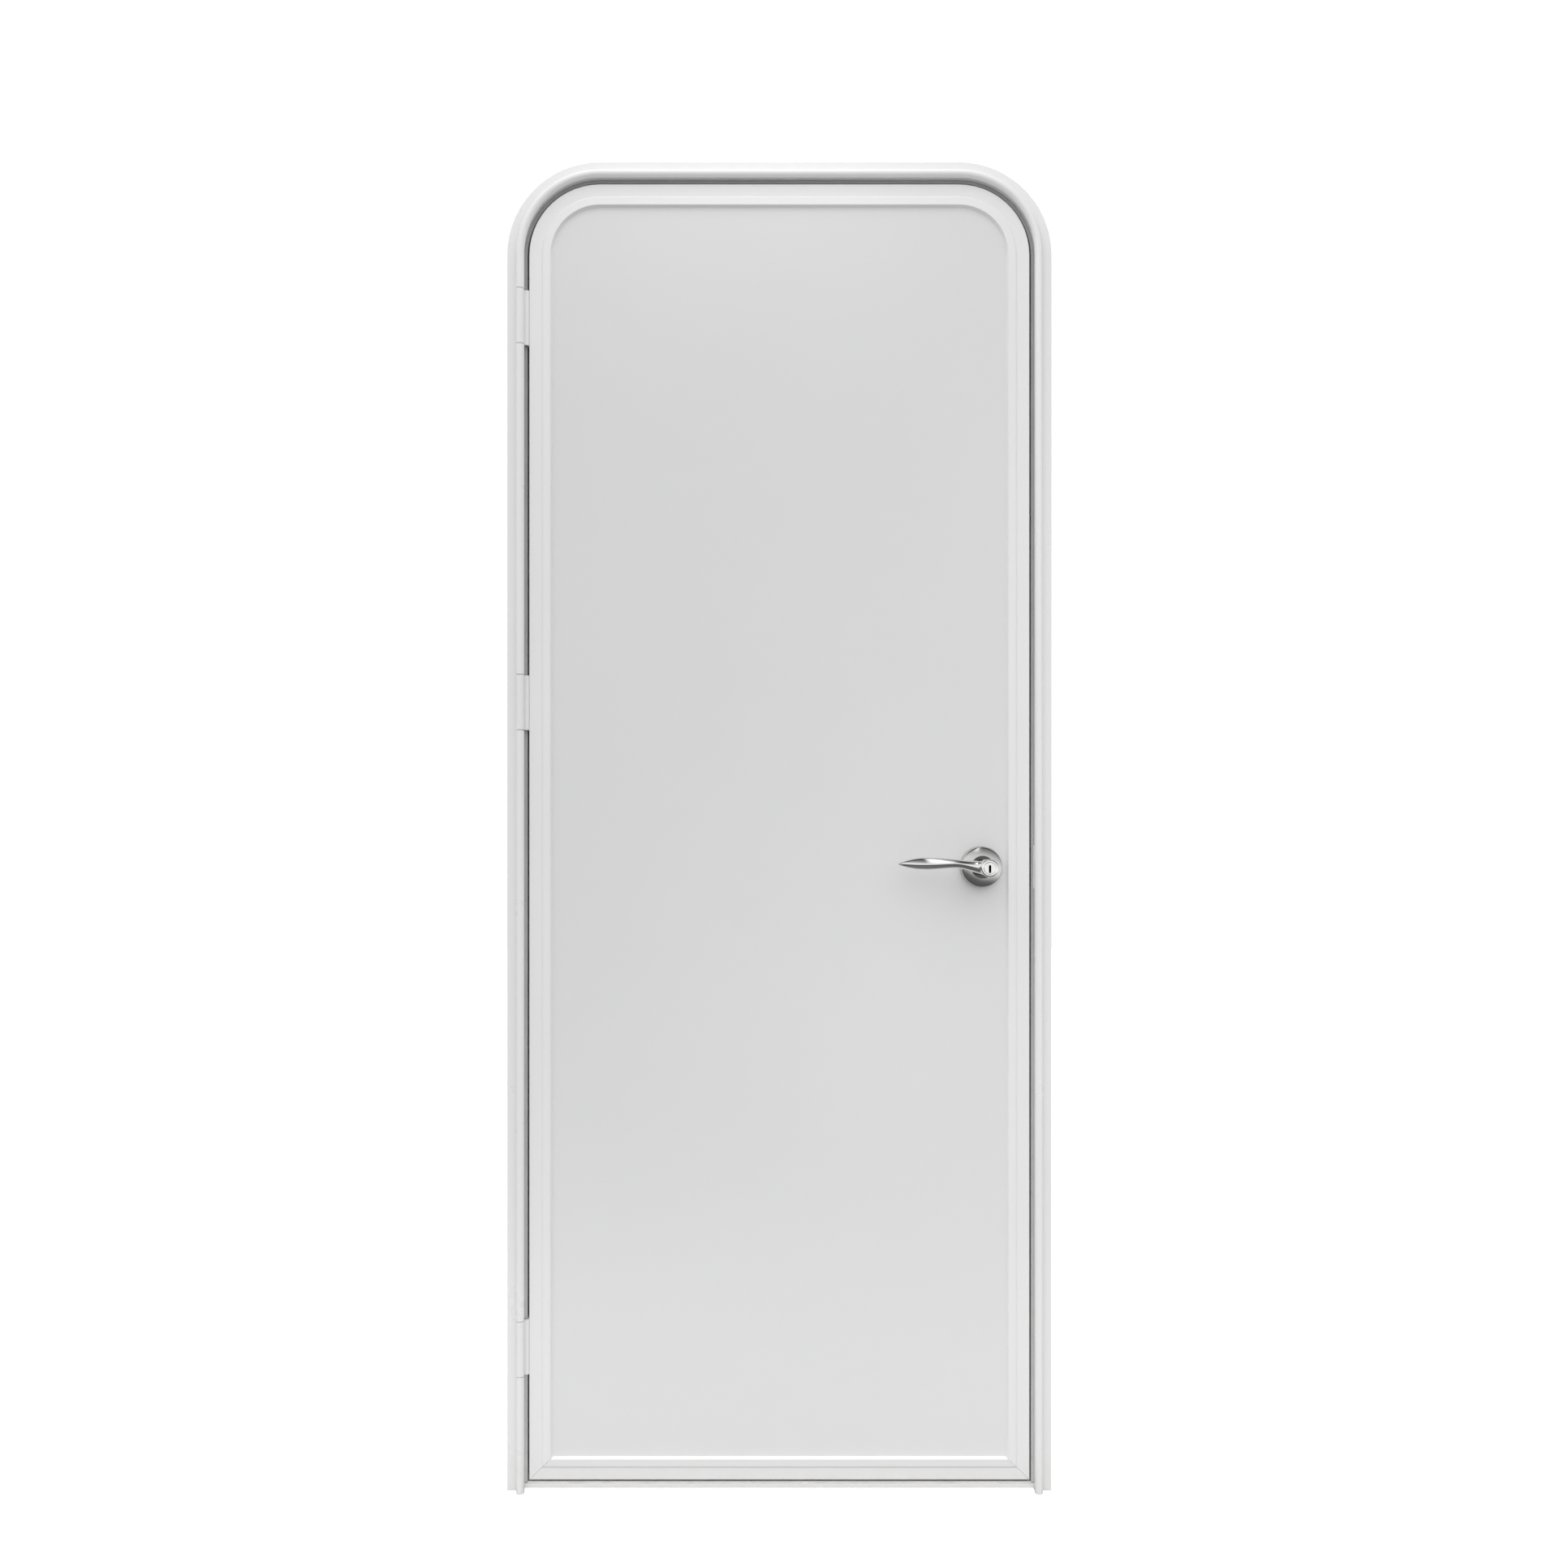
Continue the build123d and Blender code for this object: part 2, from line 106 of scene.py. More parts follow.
def axisOf(tree, letter):  # one coordinate of the piece, in metres
    return addNode(tree, "ShaderNodeSeparateXYZ", {"Vector": onPiece(tree)}).outputs[letter]


def noiseOf(tree, scale, detail, roughness=0.5, stretch=None):
    place = onPiece(tree)
    if stretch:
        sockets = {"Vector": place, "Scale": stretch}
        place = addNode(tree, "ShaderNodeMapping", sockets).outputs["Vector"]
    sockets = {"Vector": place, "Scale": scale, "Detail": detail, "Roughness": roughness}
    return addNode(tree, "ShaderNodeTexNoise", sockets).outputs["Fac"]


def ranged(tree, value, low, high, toLow, toHigh):
    sockets = {"Value": value, "From Min": low, "From Max": high, "To Min": toLow, "To Max": toHigh}
    return addNode(tree, "ShaderNodeMapRange", sockets).outputs["Result"]


def reckon(tree, operation, *values):  # one math node
    node = addNode(tree, "ShaderNodeMath", operation=operation)
    for place, value in enumerate(values):
        feed(tree, node.inputs[place], value)
    return node.outputs[0]


colourMix = dict(share=0, first=6, second=7, result=2)  # places of the mix node's colour sockets


def mixBy(tree, share, first, second):  # one colour into another
    mix = addNode(tree, "ShaderNodeMix", data_type="RGBA")
    feed(tree, mix.inputs[colourMix["share"]], share)
    feed(tree, mix.inputs[colourMix["first"]], first)
    feed(tree, mix.inputs[colourMix["second"]], second)
    return mix.outputs[colourMix["result"]]


clouding = dict(detail=3.0, low=0.3, high=0.7)


def makeMottle():  # slow clouds of a second shade
    tree, given, out = newGroup("mottle", {"Colour": white, "Shade": white, "Size": 4.0},
                                {"Colour": "NodeSocketColor"})
    noise = noiseOf(tree, given["Size"], clouding["detail"])
    clouds = ranged(tree, noise, clouding["low"], clouding["high"], 0.0, 1.0)
    tree.links.new(mixBy(tree, clouds, given["Colour"], given["Shade"]), out.inputs["Colour"])
    return tree


shadeAndDustSpread = dict(foot=0.1, head=1.75,  # heights between which the painted shade turns
               splashSize=45.0, detail=5.0, roughness=0.65, low=0.35, high=0.75)


def makePaintedShadeAndDust():  # painted shade, darker towards the head and paler towards the foot, with a little road dust at the very bottom
    tree, given, out = newGroup("paintedShadeAndDust", {"Colour": white, "Shade": white, "Dust": white,
                                           "Reach": 0.1}, {"Colour": "NodeSocketColor"})
    height = axisOf(tree, "Z")
    upward = ranged(tree, height, shadeAndDustSpread["foot"], shadeAndDustSpread["head"], 0.0, 1.0)
    shadedByHeight = mixBy(tree, upward, given["Colour"], given["Shade"])
    splash = ranged(tree, height, given["Reach"], 0.0, 0.0, 1.0)
    noise = noiseOf(tree, shadeAndDustSpread["splashSize"], shadeAndDustSpread["detail"], shadeAndDustSpread["roughness"])
    patches = ranged(tree, noise, shadeAndDustSpread["low"], shadeAndDustSpread["high"], 0.0, 1.0)
    dusty = reckon(tree, "MULTIPLY", splash, patches)
    tree.links.new(mixBy(tree, dusty, shadedByHeight, given["Dust"]), out.inputs["Colour"])
    return tree


peelDetail = 2.0


def makePeel():  # the fine orange peel of a sprayed coat
    tree, given, out = newGroup("peel", {"Size": 500.0}, {"Height": "NodeSocketFloat"})
    tree.links.new(noiseOf(tree, given["Size"], peelDetail), out.inputs["Height"])
    return tree


ripples = dict(detail=1.0, gelSize=260.0, gelDetail=2.0, gelShare=0.06)


def makeRipple():  # long shallow waves of a bonded sheet under a fine gel coat
    tree, given, out = newGroup("ripple", {"Size": 10.0}, {"Height": "NodeSocketFloat"})
    waves = noiseOf(tree, given["Size"], ripples["detail"])
    gel = noiseOf(tree, ripples["gelSize"], ripples["gelDetail"])
    fine = reckon(tree, "MULTIPLY", gel, ripples["gelShare"])
    tree.links.new(reckon(tree, "ADD", waves, fine), out.inputs["Height"])
    return tree


wiping = dict(detail=5.0, roughness=0.6, low=0.35, high=0.65)


def makeHandling():  # roughness that drifts where hands and cloths have been
    tree, given, out = newGroup("handling", {"Low": 0.3, "High": 0.4, "Size": 12.0},
                                {"Roughness": "NodeSocketFloat"})
    wiped = noiseOf(tree, given["Size"], wiping["detail"], wiping["roughness"])
    drift = ranged(tree, wiped, wiping["low"], wiping["high"], given["Low"], given["High"])
    tree.links.new(drift, out.inputs["Roughness"])
    return tree


rubbing = dict(detail=4.0, roughness=0.6, stretch=(1, 1, 0.03))


def makeHairlines():  # fine rubbed lines that run one way
    tree, given, out = newGroup("hairlines", {"Size": 300.0}, {"Height": "NodeSocketFloat"})
    lines = noiseOf(tree, given["Size"], rubbing["detail"], rubbing["roughness"], rubbing["stretch"])
    tree.links.new(lines, out.inputs["Height"])
    return tree


def makePores():  # cells of a foamed or moulded skin
    tree, given, out = newGroup("pores", {"Size": 700.0}, {"Height": "NodeSocketFloat"})
    cells = addNode(tree, "ShaderNodeTexVoronoi", {"Vector": onPiece(tree), "Scale": given["Size"]})
    tree.links.new(cells.outputs["Distance"], out.inputs["Height"])
    return tree


groups = {"mottle": makeMottle(), "paintedShadeAndDust": makePaintedShadeAndDust(), "peel": makePeel(), "ripple": makeRipple(),
          "handling": makeHandling(), "hairlines": makeHairlines(), "pores": makePores()}

# Finishes: colour and second shade, level of the painted shade at the top, reach of road dust,
# roughness and grain
finishes = {
    "frame_white": dict(
        colour=(0.85, 0.85, 0.85), shade=(0.833, 0.833, 0.834), clouds=3.0, top=0.985, dust=0.05,
        low=0.27, high=0.36, wiped=12.0, metal=0.0,
        grain="peel", grainSize=420.0, grainDepth=0.00004),
    "leaf_white": dict(
        colour=(0.845, 0.845, 0.846), shade=(0.829, 0.829, 0.83), clouds=3.5, top=0.98, dust=0.04,
        low=0.28, high=0.38, wiped=14.0, metal=0.0,
        grain="peel", grainSize=420.0, grainDepth=0.00004),
    "panel_white": dict(
        colour=(0.78, 0.78, 0.783), shade=(0.767, 0.767, 0.77), clouds=2.2, top=0.925, dust=0.03,
        low=0.3, high=0.42, wiped=5.0, metal=0.0,
        grain="ripple", grainSize=7.0, grainDepth=0.0006),
    "core_foam": dict(
        colour=(0.78, 0.72, 0.55), shade=(0.7, 0.63, 0.46), clouds=60.0, top=1.0, dust=0.0,
        low=0.8, high=0.95, wiped=40.0, metal=0.0,
        grain="pores", grainSize=700.0, grainDepth=0.0006),
    # the seal's low top level paints shade into the head gap
    "seal_rubber": dict(
        colour=(0.66, 0.66, 0.655), shade=(0.6, 0.6, 0.595), clouds=25.0, top=0.6, dust=0.1,
        low=0.55, high=0.75, wiped=30.0, metal=0.0,
        grain="pores", grainSize=1500.0, grainDepth=0.00006),
    "polished_metal": dict(
        colour=(0.86, 0.857, 0.85), shade=(0.81, 0.807, 0.8), clouds=40.0, top=1.0, dust=0.0,
        low=0.06, high=0.15, wiped=45.0, metal=1.0,
        grain="hairlines", grainSize=1200.0, grainDepth=0.000002),
    "plain_steel": dict(
        colour=(0.64, 0.64, 0.625), shade=(0.5, 0.505, 0.51), clouds=90.0, top=1.0, dust=0.0,
        low=0.28, high=0.45, wiped=60.0, metal=1.0,
        grain="hairlines", grainSize=700.0, grainDepth=0.00002),
}
roadDust = (0.79, 0.78, 0.755)
roseSheen = dict(colour=(0.7, 0.698, 0.692), shade=(0.64, 0.638, 0.632),
                 low=0.13, high=0.22)  # duller than the levers
neckShade = dict(radius=0.0159, soft=0.0006, dark=(0.1, 0.1, 0.098, 1))  # painted shade round the neck, where its shadow and dark reflections fall
# painted shade: the keyway slot is coloured near black and matt
keywayShade = dict(halfWide=0.0016, halfHigh=0.0049, drop=0.0013, dark=(0.012, 0.012, 0.012, 1), rough=0.7)


def useGroup(tree, name, **sockets):
    return addNode(tree, "ShaderNodeGroup", sockets, node_tree=groups[name]).outputs[0]


def tinted(colour, level=1.0):
    return (*(part * level for part in colour), 1)


def mottled(tree, look, level=1.0):
    return useGroup(tree, "mottle", Colour=tinted(look["colour"], level),
                    Shade=tinted(look["shade"], level), Size=look["clouds"])


def makeFinish(name, look):
    material = bpy.data.materials.new(name)
    material.use_nodes = True
    tree = material.node_tree
    shader = tree.nodes["Principled BSDF"]
    colour = mottled(tree, look)
    if look["dust"]:
        # the colour darkened by the top level: painted shade towards the head
        shadedUpper = mottled(tree, look, look["top"])
        colour = useGroup(tree, "paintedShadeAndDust", Colour=colour, Shade=shadedUpper, Dust=tinted(roadDust),
                          Reach=look["dust"])
    rough = useGroup(tree, "handling", Low=look["low"], High=look["high"], Size=look["wiped"])
    height = useGroup(tree, look["grain"], Size=look["grainSize"])
    sockets = {"Height": height, "Distance": look["grainDepth"], "Strength": 1.0}
    bump = addNode(tree, "ShaderNodeBump", sockets)
    tree.links.new(colour, shader.inputs["Base Color"])
    tree.links.new(rough, shader.inputs["Roughness"])
    tree.links.new(bump.outputs["Normal"], shader.inputs["Normal"])
    shader.inputs["Metallic"].default_value = look["metal"]
    return material


def makePlugFinish():  # bright metal with the keyway's shade painted near black
    material = makeFinish("plug_keyway_shade", finishes["polished_metal"])
    tree = material.node_tree
    shader = tree.nodes["Principled BSDF"]
    spans = (("X", lockX, keywayShade["halfWide"]), ("Z", lockZ - keywayShade["drop"], keywayShade["halfHigh"]))
    inside = 1.0
    for letter, middle, reach in spans:
        off = reckon(tree, "ABSOLUTE", reckon(tree, "SUBTRACT", axisOf(tree, letter), middle))
        inside = reckon(tree, "MULTIPLY", reckon(tree, "LESS_THAN", off, reach), inside)
    bright = shader.inputs["Base Color"].links[0].from_socket
    smooth = shader.inputs["Roughness"].links[0].from_socket
    tree.links.new(mixBy(tree, inside, bright, keywayShade["dark"]), shader.inputs["Base Color"])
    dull = reckon(tree, "MULTIPLY", inside, keywayShade["rough"])
    tree.links.new(reckon(tree, "MAXIMUM", smooth, dull), shader.inputs["Roughness"])
    tree.links.new(reckon(tree, "SUBTRACT", 1.0, inside), shader.inputs["Metallic"])
    return material


def makeRoseFinish():  # duller metal with a painted shade ring round the neck
    material = makeFinish("rose_metal", {**finishes["polished_metal"], **roseSheen})
    tree = material.node_tree
    shader = tree.nodes["Principled BSDF"]
    squares = []
    for letter, middle in (("X", lockX), ("Z", lockZ)):
        off = reckon(tree, "SUBTRACT", axisOf(tree, letter), middle)
        squares.append(reckon(tree, "MULTIPLY", off, off))
    away = reckon(tree, "SQRT", reckon(tree, "ADD", *squares))
    shadeRing = ranged(tree, away, neckShade["radius"], neckShade["radius"] - neckShade["soft"], 0.0, 1.0)
    bright = shader.inputs["Base Color"].links[0].from_socket
    tree.links.new(mixBy(tree, shadeRing, bright, neckShade["dark"]), shader.inputs["Base Color"])
    return material


materials = {name: makeFinish(name, look) for name, look in finishes.items()}
materials["rose_metal"] = makeRoseFinish()
materials["plug_keyway_shade"] = makePlugFinish()
ownFinish = {"outer_rose": "rose_metal", "inner_rose": "rose_metal", "key_plug": "plug_keyway_shade"}
for part in record["subparts"]:
    node = nodes[part["node"]]
    node.data.materials.clear()
    node.data.materials.append(materials[ownFinish.get(part["node"], part["material_slot"])])
print("finishes set:", len(materials))

samePlace = 1e-5  # points nearer than this lie on one ring
mergeWithin = 1e-6


def pickFaces(piece, wanted):  # selects the faces whose middles pass a test
    bpy.ops.mesh.select_mode(type="FACE")
    bpy.ops.mesh.select_all(action="DESELECT")
    mesh = bmesh.from_edit_mesh(piece.data)
    for face in mesh.faces:
        face.select_set(wanted(face.calc_center_median()))
    bmesh.update_edit_mesh(piece.data)


def pickCorners(piece, wanted):  # selects the corner points that pass a test
    bpy.ops.mesh.select_mode(type="VERT")
    bpy.ops.mesh.select_all(action="DESELECT")
    mesh = bmesh.from_edit_mesh(piece.data)
    for corner in mesh.verts:
        corner.select_set(wanted(corner.co))
    mesh.select_flush_mode()
    bmesh.update_edit_mesh(piece.data)


def pullOut(move):
    bpy.ops.mesh.extrude_region_move(TRANSFORM_OT_translate={"value": move})


def closeMesh():  # merges what meets and turns all faces outwards
    bpy.ops.mesh.select_all(action="SELECT")
    bpy.ops.mesh.remove_doubles(threshold=mergeWithin)
    bpy.ops.mesh.normals_make_consistent(inside=False)
    bpy.ops.object.mode_set(mode="OBJECT")


def handOver(piece, name, body, slot):  # names, coats and hangs a finished piece on its body
    piece.name = name
    piece.data.materials.clear()
    piece.data.materials.append(materials[slot])
    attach(piece, body)


# Lever: a turned neck and hub, with a ridged leaf-shaped grip drawn out of the hub's side
lever = dict(sides=16, neckRadius=0.0113, footOut=0.001, levels=3,
             rings=((0.03, 0.0113), (0.0325, 0.0123), (0.0385, 0.0123), (0.046, 0.0123),
                    (0.0535, 0.0123), (0.0558, 0.0122), (0.0572, 0.0113)),  # out from the panel, radius
             rim=0.0024, rimEdge=0.0004, spindleBore=0.0058, spindleDepth=0.03,
             plugBore=0.0084, plugDepth=0.016, turnBore=0.0052, turnDepth=0.004,
             gripOut=0.046, gripColumn=0.0085, gripRow=0.0085, gripArc=45.0, gripRing=3,
             corners=(0.9, 1.1), cornerIn=(1, 0.68, 0.8), shoulders=(0.3, 0.7),
             shoulderIn=(1, 0.9, 0.92), offMiddle=0.3, ridgeFront=0.85, ridgeBand=0.4)
gripSteps = (  # along, rise, half height, half thickness, drop, ridge height, ridge pull, in mm
    (14.0, 1.3, 9.0, 7.1, 0.0, 0.0, 0.0), (24.0, 2.9, 7.6, 6.3, 0.0, 0.6, 0.3),
    (33.0, 4.6, 6.5, 5.7, 0.1, 0.9, 0.7), (42.0, 5.9, 6.2, 5.2, 0.2, 0.7, 1.0),
    (52.5, 6.1, 6.9, 5.1, 0.8, -0.1, 1.3), (67.0, 5.9, 8.3, 5.0, 1.6, -1.1, 1.6),
    (83.0, 5.8, 9.0, 4.8, 2.8, -1.6, 1.8), (94.5, 5.6, 8.2, 4.4, 3.9, -1.5, 1.6),
    (104.0, 5.4, 6.3, 3.8, 4.9, -1.1, 1.2), (111.5, 5.2, 3.9, 2.8, 5.6, -0.6, 0.7),
    (116.5, 5.1, 2.0, 1.6, 6.0, -0.2, 0.3), (119.0, 5.0, 0.7, 0.6, 6.1, 0.0, 0.0))


def boreFace(radius, boreRadius, depth):  # sinks a round bore into the selected end face
    bpy.ops.mesh.inset(thickness=lever["rim"])
    bpy.ops.mesh.inset(thickness=radius - lever["rim"] - boreRadius)
    pullOut((0, math.copysign(lever["rimEdge"], depth), 0))
    pullOut((0, depth, 0))


def roundRing(piece, centre, reach):  # turns the grip's first ring from a rectangle into an oval
    def onRing(at, low, high):
        level = abs(at.z - centre.z) / reach
        aside = abs(at.y - centre.y) > reach * lever["offMiddle"]
        return abs(at.x - centre.x) < samePlace and low < level < high and aside

    pickCorners(piece, lambda at: onRing(at, *lever["corners"]))
    bpy.ops.transform.resize(value=lever["cornerIn"], center_override=centre)
    pickCorners(piece, lambda at: onRing(at, *lever["shoulders"]))
    bpy.ops.transform.resize(value=lever["shoulderIn"], center_override=centre)
    pickFaces(piece, lambda at: abs(at.x - centre.x) < samePlace)


def drawGrip(piece, middle, out):
    def onHub(at):  # the faces on the hub's side that the grip grows from
        return at.x < lockX - lever["gripColumn"] and abs(at.y - middle.y) < lever["gripRow"]

    pickFaces(piece, onHub)
    ringStand, ringRadius = lever["rings"][lever["gripRing"]]
    wasHigh = ringRadius * math.sin(math.radians(lever["gripArc"]))
    wasThick = lever["rings"][lever["gripRing"] + 1][0] - ringStand
    wasRidge = (0.0, 0.0)
    centre = middle
    for step in gripSteps:
        along, rise, high, thick, drop, ridgeRise, ridgePull = (value / perMetre for value in step)
        target = Vector((lockX - along, middle.y - out * drop, lockZ + rise))
        if step is gripSteps[0]:  # off the round hub onto a flat ring
            pullOut((0, 0, 0))
            flatAt = (target.x, centre.y, centre.z)
            bpy.ops.transform.resize(value=(0, 1, 1), center_override=flatAt)
            bpy.ops.transform.translate(value=(0, target.y - centre.y, target.z - centre.z))
            roundRing(piece, target, wasHigh)
        else:
            pullOut(target - centre)
        grow = (1, thick / wasThick, high / wasHigh)
        bpy.ops.transform.resize(value=grow, center_override=target)
        front = target.y + out * thick * lever["ridgeFront"]
        pickCorners(piece, lambda at: abs(at.x - target.x) < samePlace and (at.y - front) * out > 0
                    and abs(at.z - target.z) < thick * lever["ridgeBand"])
        lift = (0, out * (ridgePull - wasRidge[1]), ridgeRise - wasRidge[0])
        bpy.ops.transform.translate(value=lift)
        pickFaces(piece, lambda at: abs(at.x - target.x) < samePlace)
        wasHigh, wasThick, wasRidge, centre = high, thick, (ridgeRise, ridgePull), target


def makeLever(name, node, seatY, out, boreRadius, boreDepth):
    def onAxis(stand):
        return Vector((lockX, seatY + out * stand, lockZ))

    bpy.ops.object.select_all(action="DESELECT")
    foot = onAxis(lever["footOut"])
    bpy.ops.mesh.primitive_circle_add(vertices=lever["sides"], radius=lever["neckRadius"],
                                      fill_type="NGON", location=foot, rotation=(quarter, 0, 0))
    piece = bpy.context.object
    bpy.ops.object.transform_apply(location=True, rotation=True)
    bpy.ops.object.mode_set(mode="EDIT")
    bpy.ops.mesh.select_all(action="SELECT")
    stand, radius = lever["footOut"], lever["neckRadius"]
    for ringStand, ringRadius in lever["rings"]:  # neck and hub, ring by ring
        pullOut((0, out * (ringStand - stand), 0))
        grow = ringRadius / radius
        bpy.ops.transform.resize(value=(grow, 1, grow), center_override=onAxis(ringStand))
        stand, radius = ringStand, ringRadius
    boreFace(radius, boreRadius, -out * boreDepth)
    pickFaces(piece, lambda at: abs(at.y - foot.y) < samePlace)
    boreFace(lever["neckRadius"], lever["spindleBore"], out * lever["spindleDepth"])
    drawGrip(piece, onAxis(lever["gripOut"]), out)
    closeMesh()
    smooth = piece.modifiers.new("smooth", "SUBSURF")
    smooth.levels = smooth.render_levels = lever["levels"]
    bpy.ops.object.modifier_apply(modifier=smooth.name)
    bpy.ops.object.shade_smooth()
    handOver(piece, name, "lever", "polished_metal")
    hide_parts(node)


makeLever("leverOutside", "outer_lever", panelFront, -1, lever["plugBore"], lever["plugDepth"])
makeLever("leverInside", "inner_lever", panelBack, 1, lever["turnBore"], lever["turnDepth"])
print("levers modelled")


def startLip(look, place, turn, size, isTip):  # a lip's flat end with a rounded tip
    bpy.ops.object.select_all(action="DESELECT")
    bpy.ops.mesh.primitive_plane_add(size=1, location=place, rotation=turn)
    piece = bpy.context.object
    piece.scale = (*size, 1)
    bpy.ops.object.transform_apply(location=True, rotation=True, scale=True)
    bpy.ops.object.mode_set(mode="EDIT")
    pickCorners(piece, isTip)
    bpy.ops.mesh.bevel(offset=look["rounding"], segments=look["roundSteps"], affect="VERTICES")
    bpy.ops.mesh.select_all(action="SELECT")
    return piece


def endLip(look, piece, name):
    closeMesh()
    bpy.ops.object.shade_smooth_by_angle(angle=math.radians(look["shade"]))
    handOver(piece, name, "frame", "seal_rubber")


# Gap seal: a soft grey lip on the jambs and head, seen between the bead and the leaf
gapSeal = dict(frameCorner=0.128, jambIn=0.023, reach=0.0046, front=0.0015, deep=0.0034,
               rounding=0.0012, roundSteps=4, footZ=0.0058, turnSteps=24, shade=35.0)


def makeGapSeal():
    halfWide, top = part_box("door_frame")[1][0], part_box("door_frame")[1][2]
    springZ = top - gapSeal["frameCorner"]
    cornerX = halfWide - gapSeal["frameCorner"]
    middleX = gapSeal["jambIn"] - halfWide + gapSeal["reach"] / 2
    place = (middleX, gapSeal["front"] + gapSeal["deep"] / 2, gapSeal["footZ"])
    size = (gapSeal["reach"], gapSeal["deep"])
    piece = startLip(gapSeal, place, (0, 0, 0), size, lambda at: at.x > middleX)
    rise = springZ - gapSeal["footZ"]
    pullOut((0, 0, rise))
    for centreX, run in ((-cornerX, (2 * cornerX, 0, 0)), (cornerX, (0, 0, -rise))):
        bpy.ops.mesh.spin(steps=gapSeal["turnSteps"], angle=-quarter, center=(centreX, 0, springZ),
                          axis=(0, 1, 0))
        pullOut(run)
    endLip(gapSeal, piece, "gapSeal")


# Sill lip: a soft strip on the sill's front edge, seen under the leaf
sillLip = dict(halfLong=0.347, front=-0.0016, deep=0.002, footZ=0.005, tall=0.003,
               rounding=0.0007, roundSteps=4, shade=35.0)


def makeSillLip():
    middleZ = sillLip["footZ"] + sillLip["tall"] / 2
    place = (-sillLip["halfLong"], sillLip["front"] + sillLip["deep"] / 2, middleZ)
    size = (sillLip["tall"], sillLip["deep"])
    piece = startLip(sillLip, place, (0, quarter, 0), size, lambda at: at.z > middleZ)
    pullOut((2 * sillLip["halfLong"], 0, 0))
    endLip(sillLip, piece, "sillLip")


makeGapSeal()
makeSillLip()
print("gap seals modelled")

# Screws: a low pan head with a cross recess, modelled once and copied
screw = dict(sides=24, radius=0.0038,
             rings=((0.0007, 0.0038), (0.0013, 0.0032), (0.0016, 0.0021)),  # height, radius
             armLong=0.0044, armWide=0.0009, armDeep=0.0009, softEdge=0.00012, softSteps=2, shade=40.0)
hingeScrews = dict(up=0.022, back=0.007, plateThick=0.0024, size=0.85)
latchScrews = dict(up=0.0165, size=0.62)
strikeScrews = dict(up=0.025, size=0.75)
roseScrews = dict(up=0.0207, out=0.0104, size=0.8)
screwPairs = ((-1, "low"), (1, "high"))


def makeScrewHead():
    bpy.ops.object.select_all(action="DESELECT")
    bpy.ops.mesh.primitive_circle_add(vertices=screw["sides"], radius=screw["radius"],
                                      fill_type="NGON")
    head = bpy.context.object
    bpy.ops.object.mode_set(mode="EDIT")
    bpy.ops.mesh.select_all(action="SELECT")
    height, radius = 0.0, screw["radius"]
    for ringHeight, ringRadius in screw["rings"]:
        pullOut((0, 0, ringHeight - height))
        grow = ringRadius / radius
        bpy.ops.transform.resize(value=(grow, grow, 1), center_override=(0, 0, ringHeight))
        height, radius = ringHeight, ringRadius
    closeMesh()
    for turn in (0, quarter):  # the two arms of the recess
        bpy.ops.object.select_all(action="DESELECT")
        bpy.ops.mesh.primitive_cube_add(size=1, location=(0, 0, height), rotation=(0, 0, turn))
        arm = bpy.context.object
        arm.scale = (screw["armLong"], screw["armWide"], 2 * screw["armDeep"])
        bpy.ops.object.transform_apply(location=True, rotation=True, scale=True)
        bpy.ops.object.select_all(action="DESELECT")
        bpy.context.view_layer.objects.active = head
        head.select_set(True)
        cut = head.modifiers.new("recess", "BOOLEAN")
        cut.object = arm
        bpy.ops.object.modifier_apply(modifier=cut.name)
        bpy.data.objects.remove(arm)
    soften = head.modifiers.new("soften", "BEVEL")
    soften.width = screw["softEdge"]
    soften.segments = screw["softSteps"]
    bpy.ops.object.modifier_apply(modifier=soften.name)
    bpy.ops.object.shade_smooth_by_angle(angle=math.radians(screw["shade"]))
    return head


def placeScrew(head, name, at, facing, size, body):
    piece = head.copy()
    piece.data = head.data.copy()
    bpy.context.scene.collection.objects.link(piece)
    piece.location = at
    piece.rotation_euler = Vector(facing).to_track_quat("Z", "Y").to_euler()
    piece.scale = (size, size, size)
    bpy.ops.object.select_all(action="DESELECT")
    piece.select_set(True)
    bpy.context.view_layer.objects.active = piece
    bpy.ops.object.transform_apply(location=True, rotation=True, scale=True)
    handOver(piece, name, body, "plain_steel")


def makeScrews():
    head = makeScrewHead()
    for mount in record["mounts"]:
        if mount["kind"] == "bolt_pattern":
            for side, level in screwPairs:
                rise = side * mount["dims"]["spacing_y_mm"] / 2 / perMetre
                at = Vector(mount["pos_m"]) + Vector((0, 0, rise))
                placeScrew(head, f"screw_{mount['name']}_{level}", at, mount["axis"], 1.0, "frame")
    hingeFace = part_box("leaf_frame")[0][0] - hingeScrews["plateThick"]  # on the leaf's edge
    for side, level in screwPairs:
        for knuckle in ("top", "middle", "bottom"):
            low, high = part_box("hinge_knuckle_" + knuckle)
            middleZ = (low[2] + high[2]) / 2
            plate = Vector((hingeFace, high[1] - hingeScrews["back"],
                            middleZ + side * hingeScrews["up"]))
            placeScrew(head, f"screw_hinge_{knuckle}_{level}", plate, (-1, 0, 0),
                       hingeScrews["size"], "leaf")
        low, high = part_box("latch_faceplate")
        edge = Vector((high[0], (low[1] + high[1]) / 2, lockZ + side * latchScrews["up"]))
        placeScrew(head, f"screw_latch_{level}", edge, (1, 0, 0), latchScrews["size"], "leaf")
        low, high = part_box("strike_plate")
        jamb = Vector((low[0], (low[1] + high[1]) / 2, lockZ + side * strikeScrews["up"]))
        placeScrew(head, f"screw_strike_{level}", jamb, (-1, 0, 0), strikeScrews["size"], "frame")
        rose = Vector((lockX, panelBack + roseScrews["out"], lockZ + side * roseScrews["up"]))
        placeScrew(head, f"screw_rose_{level}", rose, (0, 1, 0), roseScrews["size"], "leaf")
    bpy.data.objects.remove(head)


makeScrews()
print("screws placed")

